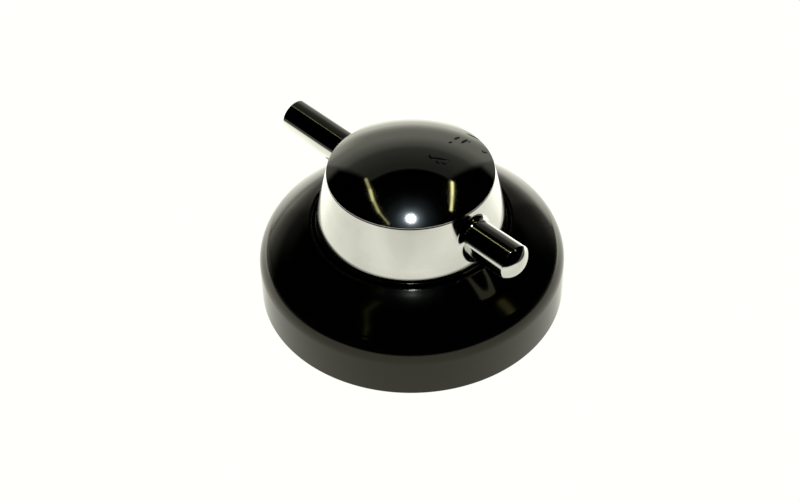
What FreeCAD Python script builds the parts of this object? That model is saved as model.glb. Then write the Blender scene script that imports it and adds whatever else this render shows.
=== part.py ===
import FreeCAD, Part
import math
import os
import Sketcher

# Timer knob of a cooker, in millimetres and degrees.
# A black bell-shaped bezel stands on the panel. In its top opening turns the knob: a hub with the
# D-shaped bore for the shaft, a chromed ring with two bars, and a chromed domed cap.
# Heights are counted from the bezel's rim. Each piece is then lowered by hub_recess, so that the
# origin is the centre of the bore's mouth, with +Z out of the panel and the short bar along +X.

SIZES = (
    ("hub_recess", 0.8, "bore mouth above the bezel's rim"),
    ("skirt_radius", 25.0, "bezel, outside at the rim"),
    ("skirt_wall", 2.0, "bezel, wall"),
    ("foot_height", 8.9, "bezel, top of the upright wall before rounding"),
    ("foot_rounding", 5.0, "bezel, from the upright wall into the shoulder"),
    ("crest_height", 14.84, "bezel, shoulder's upper corner before rounding"),
    ("crest_rounding", 0.6, "bezel, bead round the opening"),
    ("shoulder_rise", 0.88, "bezel, how far the shoulder bulges"),
    ("rim_rounding", 0.3, "bezel, edges of the rim"),
    ("ledge_height", 12.35, "bezel, floor of the opening"),
    ("deck_thickness", 1.8, "bezel, floor of the opening"),
    ("sleeve_wall", 1.95, "bezel, bearing sleeve"),
    ("sleeve_foot", 3.2, "bezel, lower end of the sleeve"),
    ("rib_thickness", 1.2, "bezel, ribs from sleeve to skirt"),
    ("rib_foot", 4.2, "bezel, lower edge of the ribs"),
    ("rib_count", 4, "bezel, number of ribs"),
    ("rib_angle", 45.0, "bezel, first rib from the X axis, in degrees"),
    ("bearing_clearance", 0.05, "radial, stem in sleeve"),
    ("thrust_clearance", 0.1, "axial, flange over ledge"),
    ("stem_radius", 6.0, "hub, stem"),
    ("stem_rounding", 0.4, "hub, lower edge of the stem"),
    ("flange_radius", 15.2, "hub, visible flange"),
    ("flange_thickness", 1.8, "hub, visible flange"),
    ("flange_rounding", 0.35, "hub, upper edge of the flange"),
    ("flange_gap", 0.6, "radial, flange in the bezel's opening"),
    ("seat_radius", 13.4, "hub, step that carries the ring"),
    ("shadow_gap", 0.65, "between the flange and the ring above it"),
    ("spigot_height", 1.0, "hub, spigot inside the ring"),
    ("fit_clearance", 0.05, "radial, spigots and pegs in their holes"),
    ("bore_radius", 3.03, "hub, bore for the shaft"),
    ("bore_depth", 12.5, "hub, bore for the shaft"),
    ("guide_length", 4.5, "hub, round part of the bore at its mouth"),
    ("drive_relief", 0.2, "hub, how much wider the D-shaped part is"),
    ("flat_distance", 1.5, "hub, flat of the D-shaped part from the axis"),
    ("slot_width", 3.4, "hub, slot for the leaf spring"),
    ("slot_back", 2.95, "hub, back of the slot from the axis"),
    ("slot_length", 7.4, "hub, slot along the bore"),
    ("groove_radius", 5.4, "hub, groove for the retaining ring"),
    ("boss_radius", 2.3, "hub, screw bosses"),
    ("screw_circle", 8.5, "radius on which screws and pegs stand"),
    ("screw_count", 3, "screws, and pegs between them"),
    ("pilot_radius", 1.0, "hub, pilot holes"),
    ("pilot_depth", 3.4, "hub, pilot holes"),
    ("band_foot_radius", 14.88, "ring, outside at its lower edge"),
    ("band_top_radius", 13.36, "ring, outside at its upper edge"),
    ("band_height", 9.45, "ring, height"),
    ("band_rounding", 0.25, "ring, lower outer edge"),
    ("socket_radius", 12.2, "ring, lower cavity"),
    ("socket_depth", 2.0, "ring, lower cavity"),
    ("web_thickness", 1.6, "ring, web across it"),
    ("cup_radius", 11.5, "ring, upper cavity"),
    ("screw_hole_radius", 1.2, "ring, holes in the web for screws"),
    ("peg_hole_radius", 1.3, "ring, holes in the web for pegs"),
    ("bar_radius", 3.0, "ring, both bars"),
    ("bar_height", 4.8, "ring, axis of the bars above the band's foot"),
    ("short_bar_reach", 23.95, "ring, end of the short bar from the axis"),
    ("long_bar_reach", 29.0, "ring, end of the long bar from the axis"),
    ("bar_crown", 1.4, "ring, bulge of the bar ends"),
    ("bar_end_rounding", 0.3, "ring, edge of the bar ends"),
    ("bar_root_rounding", 1.1, "ring, bars into the band"),
    ("cap_lip", 0.1, "cap, upright edge"),
    ("cap_rise", 3.15, "cap, dome above its edge"),
    ("cap_thickness", 1.8, "cap, wall"),
    ("cap_rounding", 0.12, "cap, outer edge"),
    ("cap_spigot_wall", 1.4, "cap, spigot in the ring"),
    ("cap_spigot_length", 1.6, "cap, spigot in the ring"),
    ("leaf_thickness", 0.4, "leaf spring, strip"),
    ("leaf_width", 3.0, "leaf spring, strip"),
    ("leaf_length", 6.8, "leaf spring, along the bore"),
    ("leaf_bow", 0.15, "leaf spring, how far it stands into the bore"),
    ("leaf_contact", 2.0, "leaf spring, straight part on the shaft's flat"),
    ("leaf_bend", 1.2, "leaf spring, inside of its bends"),
    ("circlip_thickness", 1.0, "retaining ring"),
    ("circlip_radius", 7.6, "retaining ring, outside"),
    ("circlip_angle", 286.0, "retaining ring, its arc in degrees"),
    ("circlip_clearance", 0.1, "retaining ring, to the groove and to the sleeve"),
    ("lug_radius", 1.3, "retaining ring, lugs at its ends"),
    ("lug_hole_radius", 0.5, "retaining ring, holes for the pliers"),
    ("screw_radius", 0.95, "screws, shank"),
    ("screw_length", 4.6, "screws, under the head"),
    ("screw_point", 0.8, "screws, tapered point"),
    ("screw_head_radius", 1.9, "screws, head"),
    ("screw_head_height", 1.4, "screws, head"),
    ("screw_head_rounding", 0.7, "screws, head"),
    ("recess_reach", 1.2, "screws, arm of the cross recess"),
    ("recess_width", 0.5, "screws, arm of the cross recess"),
    ("recess_depth", 0.8, "screws, cross recess"),
)

FULL_TURN = 360.0
BLEND_SHARE = 0.9


class Size:
    """A number together with the expression that gives it from the sheet."""

    def __init__(self, value, text):
        self.value = float(value)
        self.text = text

    def __add__(self, other):
        other = as_size(other)
        return Size(self.value + other.value, "(%s + %s)" % (self.text, other.text))

    def __sub__(self, other):
        other = as_size(other)
        return Size(self.value - other.value, "(%s - %s)" % (self.text, other.text))

    def __mul__(self, other):
        other = as_size(other)
        return Size(self.value * other.value, "(%s * %s)" % (self.text, other.text))

    def __truediv__(self, other):
        other = as_size(other)
        return Size(self.value / other.value, "(%s / %s)" % (self.text, other.text))

    def __neg__(self):
        return Size(-self.value, "(0 - %s)" % self.text)


def as_size(number):
    return number if isinstance(number, Size) else Size(number, repr(float(number)))


def root(square):
    return Size(math.sqrt(square.value), "sqrt(%s)" % square.text)


def slope_angle(slope):
    return Size(math.degrees(math.atan(slope.value)), "atan(%s)" % slope.text)


def tangent(angle):
    return Size(math.tan(math.radians(angle.value)), "tan(%s)" % angle.text)


def cosine(angle):
    angle = as_size(angle)
    return Size(math.cos(math.radians(angle.value)), "cos(%s)" % angle.text)


def sine(angle):
    angle = as_size(angle)
    return Size(math.sin(math.radians(angle.value)), "sin(%s)" % angle.text)


def smaller(one, other):
    return Size(min(one.value, other.value), "min(%s; %s)" % (one.text, other.text))


def distance(across, up):
    return root(across * across + up * up)


RIGHT_ANGLE = Size(90, "90 deg")

doc = FreeCAD.newDocument("timer_knob")
sheet = doc.addObject("Spreadsheet::Sheet", "Sizes")
for row, (alias, value, meaning) in enumerate(SIZES, start=1):
    sheet.set("A%d" % row, meaning)
    sheet.set("B%d" % row, str(value))
    sheet.setAlias("B%d" % row, alias)
doc.recompute()


def named(alias):
    """The size of that name, as the sheet holds it."""
    return Size(sheet.get(alias), "Sizes." + alias)


def new_body(name):
    body = doc.addObject("PartDesign::Body", name)
    body.Label = name
    body.setExpression("Placement.Base.z", "-Sizes.hub_recess")
    return body


def origin_feature(body, role):
    for feature in body.Origin.OriginFeatures:
        if feature.Role == role:
            return feature
    raise ValueError("no origin feature " + role)


def new_sketch(body, name, plane, height=None):
    """An empty sketch on an origin plane; height lifts one on the XY plane."""
    sketch = body.newObject("Sketcher::SketchObject", name)
    sketch.AttachmentSupport = [(origin_feature(body, plane), "")]
    sketch.MapMode = "FlatFace"
    if height is not None:
        offset = "AttachmentOffset.Base.z" if plane == "XY_Plane" else "AttachmentOffset.Base.y"
        sketch.setExpression(offset, height.text)
    return sketch


def fix(sketch, kind, geometry, point, size):
    """Hold one point's distance from an axis, or put it on the axis."""
    size = as_size(size)
    if size.value == 0.0:
        axis = -2 if kind == "DistanceX" else -1
        sketch.addConstraint(Sketcher.Constraint("PointOnObject", geometry, point, axis))
        return
    index = sketch.addConstraint(Sketcher.Constraint(kind, geometry, point, size.value))
    sketch.setExpression("Constraints[%d]" % index, size.text)


def fix_radius(sketch, geometry, size):
    index = sketch.addConstraint(Sketcher.Constraint("Radius", geometry, size.value))
    sketch.setExpression("Constraints[%d]" % index, size.text)


def arc_between(centre, start, end):
    """A circle's arc, counter-clockwise from start to end."""
    first = math.atan2(start.y - centre.y, start.x - centre.x)
    last = math.atan2(end.y - centre.y, end.x - centre.x)
    circle = Part.Circle(centre, FreeCAD.Vector(0, 0, 1), start.distanceToPoint(centre))
    return Part.ArcOfCircle(circle, first, last)


def round_corner(before, corner, after, radius):
    """Where a corner's rounding starts and ends, and its centre."""
    back = (before - corner).normalize()
    ahead = (after - corner).normalize()
    half = back.getAngle(ahead) / 2
    reach = radius / math.tan(half)
    middle = (back + ahead).normalize()
    return corner + back * reach, corner + ahead * reach, corner + middle * (radius / math.sin(half))


def outline(sketch, corners):
    """A closed outline. A corner is a dict: at, and where it has them round (its rounding)
    and bulge (the radius of the arc to the next corner, negative where it curves inwards)."""
    points = [FreeCAD.Vector(as_size(c["at"][0]).value, as_size(c["at"][1]).value, 0) for c in corners]
    count = len(corners)
    entries, exits, centres = [], [], []
    for i, corner in enumerate(corners):
        entry, leave, centre = points[i], points[i], None
        if "round" in corner:
            entry, leave, centre = round_corner(points[i - 1], points[i], points[(i + 1) % count],
                                                corner["round"].value)
        entries.append(entry)
        exits.append(leave)
        centres.append(centre)
    sides = []
    for i, corner in enumerate(corners):
        start, end = exits[i], entries[(i + 1) % count]
        if "bulge" in corner:
            radius = corner["bulge"].value
            chord = end - start
            left = FreeCAD.Vector(-chord.y, chord.x, 0).normalize()
            depth = math.sqrt(radius ** 2 - (chord.Length / 2) ** 2)
            centre = (start + end) * 0.5 + left * math.copysign(depth, radius)
            arc = arc_between(centre, start, end) if radius > 0 else arc_between(centre, end, start)
            side = sketch.addGeometry(arc)
            fix_radius(sketch, side, corner["bulge"] if radius > 0 else -corner["bulge"])
            sides.append((side, 1, 2) if radius > 0 else (side, 2, 1))
        else:
            sides.append((sketch.addGeometry(Part.LineSegment(start, end)), 1, 2))
    for i, corner in enumerate(corners):
        before, after = sides[i - 1], sides[i]
        across, up = corner["at"]
        if centres[i] is None:
            sketch.addConstraint(Sketcher.Constraint("Coincident", before[0], before[2], after[0], after[1]))
            held, point = after[0], after[1]
        else:
            into = points[i] - points[i - 1]
            out = points[(i + 1) % count] - points[i]
            turns_left = into.x * out.y - into.y * out.x > 0
            if turns_left:
                arc = sketch.addGeometry(arc_between(centres[i], entries[i], exits[i]))
                first, last = 1, 2
            else:
                arc = sketch.addGeometry(arc_between(centres[i], exits[i], entries[i]))
                first, last = 2, 1
            sketch.addConstraint(Sketcher.Constraint("Tangent", before[0], before[2], arc, first))
            sketch.addConstraint(Sketcher.Constraint("Tangent", arc, last, after[0], after[1]))
            fix_radius(sketch, arc, corner["round"])
            held, point = sketch.addGeometry(Part.Point(points[i]), True), 1
            sketch.addConstraint(Sketcher.Constraint("PointOnObject", held, point, before[0]))
            sketch.addConstraint(Sketcher.Constraint("PointOnObject", held, point, after[0]))
        fix(sketch, "DistanceX", held, point, across)
        fix(sketch, "DistanceY", held, point, up)


def circle(sketch, across, up, radius):
    centre = FreeCAD.Vector(as_size(across).value, as_size(up).value, 0)
    ring = sketch.addGeometry(Part.Circle(centre, FreeCAD.Vector(0, 0, 1), radius.value))
    fix(sketch, "DistanceX", ring, 3, across)
    fix(sketch, "DistanceY", ring, 3, up)
    fix_radius(sketch, ring, radius)


def rectangle(sketch, left, low, right, high):
    outline(sketch, [{"at": (left, low)}, {"at": (right, low)}, {"at": (right, high)}, {"at": (left, high)}])


def revolve(body, name, corners, kind="PartDesign::Revolution", axis="V_Axis", height=None):
    """Turn an outline of the XZ plane round its own upright or level axis."""
    sketch = new_sketch(body, name + "_outline", "XZ_Plane", height)
    outline(sketch, corners)
    feature = body.newObject(kind, name)
    feature.Profile = sketch
    feature.ReferenceAxis = (sketch, [axis])
    feature.Angle = FULL_TURN
    doc.recompute()
    return feature


def extrude(body, name, sketch, length, kind="PartDesign::Pad", reverse=False):
    feature = body.newObject(kind, name)
    feature.Profile = sketch
    feature.setExpression("Length", length.text)
    feature.Reversed = reverse
    doc.recompute()
    return feature


def repeat_round(body, name, feature, count):
    """The same feature again, evenly round the Z axis."""
    pattern = body.newObject("PartDesign::PolarPattern", name)
    pattern.Originals = [feature]
    pattern.Axis = (origin_feature(body, "Z_Axis"), [""])
    pattern.Angle = FULL_TURN
    pattern.setExpression("Occurrences", count.text)
    body.Tip = pattern
    doc.recompute()
    return pattern


def round_edges(body, name, radius, chosen):
    """Round the edges of the body's tip whose every sampled point passes the test."""
    base = body.Tip
    names = []
    for number, edge in enumerate(base.Shape.Edges, start=1):
        if edge.Degenerated:
            continue
        first, last = edge.ParameterRange
        samples = [edge.valueAt(first + (last - first) * share) for share in (0.0, 0.2, 0.4, 0.7, 1.0)]
        if all(chosen(point) for point in samples):
            names.append("Edge%d" % number)
    if not names:
        raise ValueError("no edge found for " + name)
    feature = body.newObject("PartDesign::Fillet", name)
    feature.Base = (base, names)
    feature.setExpression("Radius", radius.text)
    doc.recompute()
    return feature


# Heights and radii that several pieces share
mouth = named("hub_recess")
drive_foot = mouth + named("guide_length")
sleeve_bore = named("stem_radius") + named("bearing_clearance")
flange_under = named("ledge_height") + named("thrust_clearance")
flange_top = flange_under + named("flange_thickness")
band_foot = flange_top + named("shadow_gap")
band_top = band_foot + named("band_height")
web_under = band_foot + named("socket_depth")
web_top = web_under + named("web_thickness")
cap_edge = band_top + named("cap_lip")
cap_apex = cap_edge + named("cap_rise")
half_step = FULL_TURN / 2 / named("screw_count").value


def make_bezel():
    """The black skirt: shell, opening with its ledge, bearing sleeve and ribs."""
    body = new_body("bezel")
    outer = named("skirt_radius")
    wall = named("skirt_wall")
    foot = named("foot_height")
    crest = named("crest_height")
    opening = named("flange_radius") + named("flange_gap")
    half_run = (outer - opening) / 2
    crown_height = (foot + crest) / 2 + named("shoulder_rise")
    lower_angle = slope_angle((crown_height - foot) / half_run)
    upper_angle = slope_angle((crest - crown_height) / half_run)
    # The shoulder's large arc takes up what the two roundings beside it leave free
    lower_free = distance(half_run, crown_height - foot) - (
        named("foot_rounding") * tangent((RIGHT_ANGLE - lower_angle) / 2))
    upper_free = distance(half_run, crest - crown_height) - (
        named("crest_rounding") * tangent((RIGHT_ANGLE + upper_angle) / 2))
    shoulder_arc = smaller(lower_free, upper_free) * BLEND_SHARE / tangent((lower_angle - upper_angle) / 2)
    inner = outer - wall
    inner_foot = foot - wall * tangent((RIGHT_ANGLE - lower_angle) / 2)
    deck_under = named("ledge_height") - named("deck_thickness")
    deck_reach = inner - (deck_under - inner_foot) / tangent(lower_angle)
    sleeve = sleeve_bore + named("sleeve_wall")
    edge = named("rim_rounding")
    revolve(body, "bezel_shell", [
        {"at": (outer, 0), "round": edge},
        {"at": (outer, foot), "round": named("foot_rounding")},
        {"at": (outer - half_run, crown_height), "round": shoulder_arc},
        {"at": (opening, crest), "round": named("crest_rounding")},
        {"at": (opening, named("ledge_height"))},
        {"at": (sleeve_bore, named("ledge_height"))},
        {"at": (sleeve_bore, named("sleeve_foot"))},
        {"at": (sleeve, named("sleeve_foot"))},
        {"at": (sleeve, deck_under)},
        {"at": (deck_reach, deck_under)},
        {"at": (inner, inner_foot), "round": named("foot_rounding") - wall},
        {"at": (inner, 0), "round": edge},
    ])
    # Each rib ends inside the wall, half-way through it
    ribs = new_sketch(body, "rib_outline", "XZ_Plane")
    ribs.AttachmentOffset = FreeCAD.Placement(FreeCAD.Vector(), FreeCAD.Rotation(
        FreeCAD.Vector(0, 1, 0), named("rib_angle").value))
    ribs.setExpression("AttachmentOffset.Rotation.Angle", named("rib_angle").text)
    outline(ribs, [
        {"at": (sleeve - named("sleeve_wall") / 2, named("rib_foot"))},
        {"at": (outer - wall / 2, named("rib_foot"))},
        {"at": (outer - wall / 2, foot - wall / 2)},
        {"at": (outer - half_run, crown_height - wall * 0.65)},
        {"at": (opening + wall / 2, named("ledge_height"))},
        {"at": (sleeve - named("sleeve_wall") / 2, named("ledge_height") - named("deck_thickness") / 2)},
    ])
    rib = extrude(body, "rib", ribs, named("rib_thickness"))
    rib.Midplane = True
    doc.recompute()
    repeat_round(body, "ribs", rib, named("rib_count"))
    return body


def make_hub():
    """The black hub: stem, flange, spigot, screw bosses and the D-shaped bore."""
    body = new_body("hub")
    stem = named("stem_radius")
    groove_top = named("sleeve_foot")
    groove_low = groove_top - named("circlip_thickness") - named("circlip_clearance") * 2
    spigot = named("socket_radius") - named("fit_clearance")
    spigot_top = band_foot + named("spigot_height")
    revolve(body, "hub_turned", [
        {"at": (0, mouth)},
        {"at": (stem, mouth), "round": named("stem_rounding")},
        {"at": (stem, groove_low)},
        {"at": (named("groove_radius"), groove_low)},
        {"at": (named("groove_radius"), groove_top)},
        {"at": (stem, groove_top)},
        {"at": (stem, flange_under)},
        {"at": (named("flange_radius"), flange_under)},
        {"at": (named("flange_radius"), flange_top), "round": named("flange_rounding")},
        {"at": (named("seat_radius"), flange_top)},
        {"at": (named("seat_radius"), band_foot)},
        {"at": (spigot, band_foot)},
        {"at": (spigot, spigot_top)},
        {"at": (0, spigot_top)},
    ])
    bosses = new_sketch(body, "boss_outline", "XY_Plane", band_foot)
    circle(bosses, 0, named("screw_circle"), named("boss_radius"))
    boss = extrude(body, "boss", bosses, web_under - band_foot)
    repeat_round(body, "bosses", boss, named("screw_count"))
    pilots = new_sketch(body, "pilot_outline", "XY_Plane", web_under)
    circle(pilots, 0, named("screw_circle"), named("pilot_radius"))
    pilot = extrude(body, "pilot", pilots, named("pilot_depth"), "PartDesign::Pocket")
    repeat_round(body, "pilots", pilot, named("screw_count"))
    guides = new_sketch(body, "guide_outline", "XY_Plane", mouth)
    circle(guides, 0, 0, named("bore_radius"))
    extrude(body, "guide", guides, named("guide_length"), "PartDesign::Pocket", reverse=True)
    # Above the round guide the bore is D-shaped: a flat fills one side, and a slot in it holds the spring
    drive_length = named("bore_depth") - named("guide_length")
    drive_radius = named("bore_radius") + named("drive_relief")
    drives = new_sketch(body, "drive_outline", "XY_Plane", drive_foot)
    circle(drives, 0, 0, drive_radius)
    extrude(body, "drive", drives, drive_length, "PartDesign::Pocket", reverse=True)
    flats = new_sketch(body, "flat_outline", "XY_Plane", drive_foot)
    chord = root(drive_radius * drive_radius - named("flat_distance") * named("flat_distance"))
    rectangle(flats, -chord, named("flat_distance"), chord, drive_radius + named("drive_relief"))
    extrude(body, "flat", flats, drive_length)
    slots = new_sketch(body, "slot_outline", "XY_Plane", drive_foot)
    half_slot = named("slot_width") / 2
    rectangle(slots, -half_slot, named("flat_distance") / 2, half_slot, named("slot_back"))
    extrude(body, "slot", slots, named("slot_length"), "PartDesign::Pocket", reverse=True)
    return body


def bar_outline(reach):
    """Half a bar's outline from the knob's axis to its end; reach is negative for the bar along -X."""
    crown = named("bar_crown") if reach.value > 0 else -named("bar_crown")
    crown_radius = (named("bar_radius") * named("bar_radius") + named("bar_crown") * named("bar_crown")) / (
        named("bar_crown") * 2)
    if reach.value > 0:
        return [
            {"at": (0, 0)},
            {"at": (reach, 0), "bulge": crown_radius},
            {"at": (reach - crown, named("bar_radius"))},
            {"at": (0, named("bar_radius"))},
        ]
    return [
        {"at": (0, 0)},
        {"at": (0, named("bar_radius"))},
        {"at": (reach - crown, named("bar_radius")), "bulge": crown_radius},
        {"at": (reach, 0)},
    ]


def make_handle_ring():
    """The chromed casting: conical band, two bars with filleted roots, and the web inside."""
    body = new_body("handle_ring")
    foot = named("band_foot_radius")
    top = named("band_top_radius")
    revolve(body, "band", [
        {"at": (0, band_foot)},
        {"at": (foot, band_foot), "round": named("band_rounding")},
        {"at": (top, band_top)},
        {"at": (0, band_top)},
    ])
    lift = band_foot + named("bar_height")
    revolve(body, "short_bar", bar_outline(named("short_bar_reach")), axis="H_Axis", height=lift)
    revolve(body, "long_bar", bar_outline(-named("long_bar_reach")), axis="H_Axis", height=lift)

    near = 0.02
    radius, height = named("bar_radius").value, lift.value
    taper = (foot.value - top.value) / named("band_height").value

    def on_bar(point):
        return abs(math.hypot(point.y, point.z - height) - radius) < near

    def on_band(point):
        band_radius = foot.value - (point.z - band_foot.value) * taper
        return abs(math.hypot(point.x, point.y) - band_radius) < near

    round_edges(body, "bar_roots", named("bar_root_rounding"), lambda p: on_bar(p) and on_band(p))
    short_end = named("short_bar_reach").value - named("bar_crown").value
    long_end = named("bar_crown").value - named("long_bar_reach").value

    def on_end(point):
        return on_bar(point) and min(abs(point.x - short_end), abs(point.x - long_end)) < near

    round_edges(body, "bar_ends", named("bar_end_rounding"), on_end)
    beyond = named("web_thickness")
    revolve(body, "socket", [
        {"at": (0, band_foot - beyond)},
        {"at": (named("socket_radius"), band_foot - beyond)},
        {"at": (named("socket_radius"), web_under)},
        {"at": (0, web_under)},
    ], kind="PartDesign::Groove")
    revolve(body, "cup", [
        {"at": (0, web_top)},
        {"at": (named("cup_radius"), web_top)},
        {"at": (named("cup_radius"), band_top + beyond)},
        {"at": (0, band_top + beyond)},
    ], kind="PartDesign::Groove")
    screws = new_sketch(body, "screw_hole_outline", "XY_Plane", web_top)
    circle(screws, 0, named("screw_circle"), named("screw_hole_radius"))
    hole = extrude(body, "screw_hole", screws, named("web_thickness"), "PartDesign::Pocket")
    repeat_round(body, "screw_holes", hole, named("screw_count"))
    pegs = new_sketch(body, "peg_hole_outline", "XY_Plane", web_top)
    circle(pegs, named("screw_circle") * sine(half_step), named("screw_circle") * cosine(half_step),
           named("peg_hole_radius"))
    hole = extrude(body, "peg_hole", pegs, named("web_thickness"), "PartDesign::Pocket")
    repeat_round(body, "peg_holes", hole, named("screw_count"))
    return body


def make_dome_cap():
    """The chromed cap: domed shell with a narrow upright edge, a spigot in the ring and three pegs."""
    body = new_body("dome_cap")
    edge = named("band_top_radius")
    rise = named("cap_rise")
    thickness = named("cap_thickness")
    dome = (edge * edge + rise * rise) / (rise * 2)
    centre = cap_apex - dome
    inside = dome - thickness
    spigot = named("cup_radius") - named("fit_clearance")
    hollow = spigot - named("cap_spigot_wall")
    revolve(body, "dome", [
        {"at": (hollow, band_top - named("cap_spigot_length"))},
        {"at": (spigot, band_top - named("cap_spigot_length"))},
        {"at": (spigot, band_top)},
        {"at": (edge, band_top)},
        {"at": (edge, cap_edge), "bulge": dome},
        {"at": (0, cap_apex)},
        {"at": (0, cap_apex - thickness), "bulge": -inside},
        {"at": (hollow, centre + root(inside * inside - hollow * hollow))},
    ])

    def on_edge(point):
        near = 0.02
        return (abs(math.hypot(point.x, point.y) - edge.value) < near and
                abs(point.z - cap_edge.value) < near)

    round_edges(body, "cap_edge", named("cap_rounding"), on_edge)
    reach = named("screw_circle")
    peg_foot = web_under + named("web_thickness") / 4
    middle = dome - thickness / 2
    pegs = new_sketch(body, "peg_outline", "XY_Plane", peg_foot)
    circle(pegs, reach * sine(half_step), reach * cosine(half_step),
           named("peg_hole_radius") - named("fit_clearance"))
    peg = extrude(body, "peg", pegs, centre + root(middle * middle - reach * reach) - peg_foot)
    repeat_round(body, "pegs", peg, named("screw_count"))
    return body


def make_shaft_spring():
    """The leaf spring in the slot: its ends lie on the slot's back, its middle on the shaft's flat."""
    body = new_body("shaft_spring")
    back = named("slot_back")
    strip = named("leaf_thickness")
    front = named("flat_distance") - named("leaf_bow")
    low = drive_foot + (named("slot_length") - named("leaf_length")) / 2
    high = low + named("leaf_length")
    middle = (low + high) / 2
    half_contact = named("leaf_contact") / 2
    inside = named("leaf_bend")
    outside = inside + strip
    sketch = new_sketch(body, "leaf_outline", "YZ_Plane")
    outline(sketch, [
        {"at": (back, low)},
        {"at": (front + strip, middle - half_contact), "round": inside},
        {"at": (front + strip, middle + half_contact), "round": inside},
        {"at": (back, high)},
        {"at": (back - strip, high)},
        {"at": (front, middle + half_contact), "round": outside},
        {"at": (front, middle - half_contact), "round": outside},
        {"at": (back - strip, low)},
    ])
    leaf = extrude(body, "leaf", sketch, named("leaf_width"))
    leaf.Midplane = True
    return body


def make_retaining_ring():
    """The circlip in the stem's groove, under the bezel's sleeve."""
    body = new_body("retaining_ring")
    clearance = named("circlip_clearance")
    high = named("sleeve_foot") - clearance
    low = high - named("circlip_thickness")
    inside = named("groove_radius") + clearance
    outside = named("circlip_radius")
    clip = revolve(body, "clip", [
        {"at": (inside, low)},
        {"at": (outside, low)},
        {"at": (outside, high)},
        {"at": (inside, high)},
    ])
    clip.Midplane = True
    clip.setExpression("Angle", named("circlip_angle").text)
    doc.recompute()
    lug_circle = outside - named("lug_radius") / 2
    half_arc = named("circlip_angle") / 2
    for side, sign in (("left", 1), ("right", -1)):
        across = lug_circle * cosine(half_arc)
        up = lug_circle * sine(half_arc) * sign
        lugs = new_sketch(body, side + "_lug_outline", "XY_Plane", low)
        circle(lugs, across, up, named("lug_radius"))
        extrude(body, side + "_lug", lugs, named("circlip_thickness"))
        holes = new_sketch(body, side + "_lug_hole_outline", "XY_Plane", high)
        circle(holes, across, up, named("lug_hole_radius"))
        extrude(body, side + "_lug_hole", holes, named("circlip_thickness"), "PartDesign::Pocket")
    return body


def make_handle_screw(number):
    """One of the screws that hold the ring on the hub; the first stands on the Y axis."""
    name = "handle_screw_%d" % number
    body = new_body(name)
    turn = FULL_TURN / named("screw_count").value * (number - 1)
    circle_radius = named("screw_circle")
    body.setExpression("Placement.Base.x", (-circle_radius * sine(turn)).text)
    body.setExpression("Placement.Base.y", (circle_radius * cosine(turn)).text)
    shank = named("screw_radius")
    head = named("screw_head_radius")
    tip = web_top - named("screw_length")
    head_top = web_top + named("screw_head_height")
    revolve(body, name + "_turned", [
        {"at": (0, tip)},
        {"at": (shank / 3, tip)},
        {"at": (shank, tip + named("screw_point"))},
        {"at": (shank, web_top)},
        {"at": (head, web_top)},
        {"at": (head, head_top), "round": named("screw_head_rounding")},
        {"at": (0, head_top)},
    ])
    arm = named("recess_reach")
    half = named("recess_width") / 2
    recess = new_sketch(body, name + "_recess_outline", "XY_Plane", head_top)
    outline(recess, [
        {"at": (arm, -half)}, {"at": (arm, half)}, {"at": (half, half)}, {"at": (half, arm)},
        {"at": (-half, arm)}, {"at": (-half, half)}, {"at": (-arm, half)}, {"at": (-arm, -half)},
        {"at": (-half, -half)}, {"at": (-half, -arm)}, {"at": (half, -arm)}, {"at": (half, -half)},
    ])
    extrude(body, name + "_recess", recess, named("recess_depth"), "PartDesign::Pocket")
    return body


pieces = [make_bezel(), make_hub(), make_handle_ring(), make_dome_cap(), make_shaft_spring(),
          make_retaining_ring()]
for number in range(1, int(named("screw_count").value) + 1):
    pieces.append(make_handle_screw(number))
doc.recompute()

for item in doc.Objects:
    if "Invalid" in item.State or "Error" in item.State:
        raise RuntimeError("%s failed: %s" % (item.Name, item.State))
for piece in pieces:
    if piece.Shape.isNull() or not piece.Shape.isValid() or len(piece.Shape.Solids) != 1:
        raise RuntimeError("%s isn't one valid solid" % piece.Label)

os.makedirs("parts", exist_ok=True)
for piece in pieces:
    piece.Shape.exportStep("parts/%s.step" % piece.Label)
    box = piece.Shape.BoundBox
    print("%-16s volume %9.2f  z %6.2f to %6.2f  x %7.2f to %6.2f" % (
        piece.Label, piece.Shape.Volume, box.ZMin, box.ZMax, box.XMin, box.XMax))
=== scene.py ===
import bpy
import math
from mathutils import Matrix, Vector
from mathutils.geometry import delaunay_2d_cdt


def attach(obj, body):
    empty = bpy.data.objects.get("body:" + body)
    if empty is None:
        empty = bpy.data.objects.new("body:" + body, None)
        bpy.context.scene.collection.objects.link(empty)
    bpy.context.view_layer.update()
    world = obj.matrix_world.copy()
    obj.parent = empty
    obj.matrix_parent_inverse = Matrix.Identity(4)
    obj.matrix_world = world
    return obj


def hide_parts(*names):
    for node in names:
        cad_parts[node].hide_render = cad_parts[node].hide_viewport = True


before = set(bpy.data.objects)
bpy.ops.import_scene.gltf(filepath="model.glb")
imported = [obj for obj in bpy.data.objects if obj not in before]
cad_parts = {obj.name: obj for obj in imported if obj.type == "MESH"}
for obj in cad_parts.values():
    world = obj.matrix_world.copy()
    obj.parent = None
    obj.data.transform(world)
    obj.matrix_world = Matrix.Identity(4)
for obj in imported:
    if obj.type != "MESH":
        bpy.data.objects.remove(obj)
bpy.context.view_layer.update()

# Heights below are counted from the bezel's rim, in millimetres, as in the part's source.
RECESS = 0.8
SEGMENTS = 240
SCREW_CIRCLE = 8.5


def metres(x, y, z):
    return Vector((x * 0.001, y * 0.001, (z - RECESS) * 0.001))


# Meshes with an exact normal at every corner

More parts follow.
